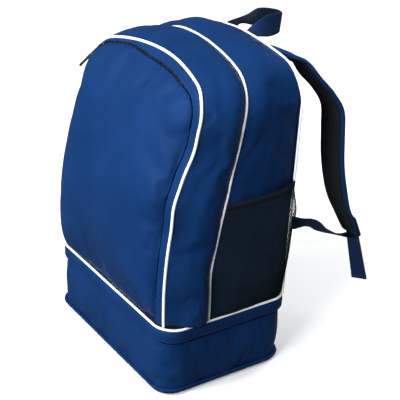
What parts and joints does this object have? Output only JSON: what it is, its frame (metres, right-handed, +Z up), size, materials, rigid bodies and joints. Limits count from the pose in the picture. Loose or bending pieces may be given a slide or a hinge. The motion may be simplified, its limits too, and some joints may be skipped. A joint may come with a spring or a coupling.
{
  "type": "racket sports backpack",
  "caption": "Arched fabric backpack with a fold-down front panel, mesh side pockets, padded shoulder straps and a hinged shoe compartment in its stiff base.",
  "frame": {"origin": "centre of the base's underside, on the ground it stands on", "axes": "+Z up, -Y out of the front panel, +X to the bag's right-hand side as the front is seen"},
  "size_m": [0.3404, 0.407, 0.496],
  "materials": {
    "royal_fabric": "coated polyester, smooth with a slight sheen",
    "padded_panel": "coated polyester over foam",
    "white_piping": "satin vinyl over cord",
    "navy_webbing": "woven polyester webbing",
    "zip_tape": "woven tape",
    "zip_coil": "nylon coil",
    "black_mesh": "knitted open mesh",
    "elastic": "ribbed elastic binding",
    "spacer_mesh": "padded spacer mesh",
    "black_plastic": "moulded acetal",
    "tray_plastic": "stiff moulded polypropylene",
    "slider_metal": "black painted zinc"
  },
  "bodies": {
    "base": {"base_skirt": "royal_fabric", "base_tray": "tray_plastic", "base_bottom_binding": "royal_fabric", "base_zip_tape_lower": "zip_tape", "base_zip_teeth_lower": "zip_coil", "rear_hinge_tape": "royal_fabric"},
    "base_slider_front": {"base_zip_slider_front": "slider_metal"},
    "base_pull_front": {"base_zip_pull_front": "black_plastic"},
    "base_slider_rear": {"base_zip_slider_rear": "slider_metal"},
    "base_pull_rear": {"base_zip_pull_rear": "black_plastic"},
    "upper_bag": {"floor_panel": "tray_plastic", "front_gusset": "royal_fabric", "rear_gusset": "royal_fabric", "front_piping": "white_piping", "middle_piping": "white_piping", "rear_piping": "white_piping", "base_piping": "white_piping", "base_zip_flap": "royal_fabric", "base_zip_tape_upper": "zip_tape", "base_zip_teeth_upper": "zip_coil", "back_panel": "royal_fabric", "back_pad": "spacer_mesh", "strap_yoke": "navy_webbing", "handle_anchor_right": "navy_webbing", "handle_anchor_left": "navy_webbing", "front_zip_tape_outer": "zip_tape", "front_zip_teeth_outer": "zip_coil", "front_zip_flap": "royal_fabric", "side_pocket_right": "black_mesh", "pocket_binding_right": "elastic", "webbing_anchor_right": "navy_webbing", "lower_webbing_right": "navy_webbing", "side_pocket_left": "black_mesh", "pocket_binding_left": "elastic", "webbing_anchor_left": "navy_webbing", "lower_webbing_left": "navy_webbing"},
    "front_door": {"front_panel": "padded_panel", "front_zip_tape_inner": "zip_tape", "front_zip_teeth_inner": "zip_coil"},
    "side_slider": {"front_zip_slider_side": "slider_metal"},
    "side_pull": {"front_zip_pull_side": "black_plastic"},
    "corner_slider": {"front_zip_slider_corner": "slider_metal"},
    "corner_pull": {"front_zip_pull_corner": "black_plastic"},
    "handle": {"haul_handle": "navy_webbing"},
    "strap_right": {"strap_shell_right": "royal_fabric", "strap_lining_right": "spacer_mesh", "ladder_lock_right": "black_plastic", "strap_end_loop_right": "navy_webbing"},
    "tail_right": {"strap_tail_upper_right": "navy_webbing"},
    "tail_end_right": {"strap_tail_lower_right": "navy_webbing"},
    "strap_left": {"strap_shell_left": "royal_fabric", "strap_lining_left": "spacer_mesh", "ladder_lock_left": "black_plastic", "strap_end_loop_left": "navy_webbing"},
    "tail_left": {"strap_tail_upper_left": "navy_webbing"},
    "tail_end_left": {"strap_tail_lower_left": "navy_webbing"}
  },
  "joints": [
    {"name": "base_lid", "type": "hinge", "parent": "base", "child": "upper_bag", "pos_m": [0, 0.112, 0.0966], "axis": [-1, 0, 0], "range_deg": [0, 45], "deforming": ["rear_hinge_tape"]},
    {"name": "base_slider_front_slide", "type": "slide", "parent": "base", "child": "base_slider_front", "axis": [0, -1, 0], "range_m": [0, 0.055]},
    {"name": "base_pull_front_swing", "type": "hinge", "parent": "base_slider_front", "child": "base_pull_front", "pos_m": [-0.15315, -0.008, 0.09275], "axis": [0, 1, 0], "range_deg": [0, 18]},
    {"name": "base_slider_rear_slide", "type": "slide", "parent": "base", "child": "base_slider_rear", "axis": [0, 1, 0], "range_m": [0, 0.055]},
    {"name": "base_pull_rear_swing", "type": "hinge", "parent": "base_slider_rear", "child": "base_pull_rear", "pos_m": [-0.15315, 0.008, 0.09275], "axis": [0, 1, 0], "range_deg": [0, 18]},
    {"name": "front_door_hinge", "type": "hinge", "parent": "upper_bag", "child": "front_door", "pos_m": [0, -0.1125, 0.114], "axis": [1, 0, 0], "range_deg": [0, 105]},
    {"name": "side_slider_run", "type": "hinge", "parent": "front_door", "child": "side_slider", "pos_m": [0, 0.593, 0.1687], "axis": [1, 0, 0], "range_deg": [0, 20]},
    {"name": "side_pull_swing", "type": "hinge", "parent": "side_slider", "child": "side_pull", "pos_m": [-0.12575, -0.07652, 0.39366], "axis": [-1, 0, 0], "range_deg": [0, 100]},
    {"name": "corner_slider_run", "type": "hinge", "parent": "front_door", "child": "corner_slider", "pos_m": [-0.092, -0.06714, 0.40749], "axis": [0, -0.9268, 0.3755], "range_deg": [-18, 12]},
    {"name": "corner_pull_swing", "type": "hinge", "parent": "corner_slider", "child": "corner_pull", "pos_m": [-0.11356, -0.06209, 0.43275], "axis": [-0.853, 0.196, 0.4837], "range_deg": [0, 90]},
    {"name": "handle_swing", "type": "hinge", "parent": "upper_bag", "child": "handle", "pos_m": [0, 0.099, 0.474], "axis": [1, 0, 0], "range_deg": [-35, 60]},
    {"name": "strap_right_swing", "type": "hinge", "parent": "upper_bag", "child": "strap_right", "pos_m": [0.061, 0.1, 0.4595], "axis": [1, 0, 0], "range_deg": [-12, 40], "deforming": ["lower_webbing_right"]},
    {"name": "tail_right_pull", "type": "slide", "parent": "strap_right", "child": "tail_right", "axis": [0.099, 0.3727, -0.9226], "range_m": [0, 0.018]},
    {"name": "tail_right_swing", "type": "hinge", "parent": "tail_right", "child": "tail_end_right", "pos_m": [0.1398, 0.23561, 0.17171], "axis": [0.9909, -0.122, 0.0571], "range_deg": [-5, 35]},
    {"name": "strap_left_swing", "type": "hinge", "parent": "upper_bag", "child": "strap_left", "pos_m": [-0.061, 0.1, 0.4475], "axis": [1, 0, 0], "range_deg": [-12, 40], "deforming": ["lower_webbing_left"]},
    {"name": "tail_left_pull", "type": "slide", "parent": "strap_left", "child": "tail_left", "axis": [-0.099, 0.3727, -0.9226], "range_m": [0, 0.018]},
    {"name": "tail_left_swing", "type": "hinge", "parent": "tail_left", "child": "tail_end_left", "pos_m": [-0.1398, 0.23561, 0.15971], "axis": [0.9909, 0.122, -0.0571], "range_deg": [-5, 35]}
  ]
}
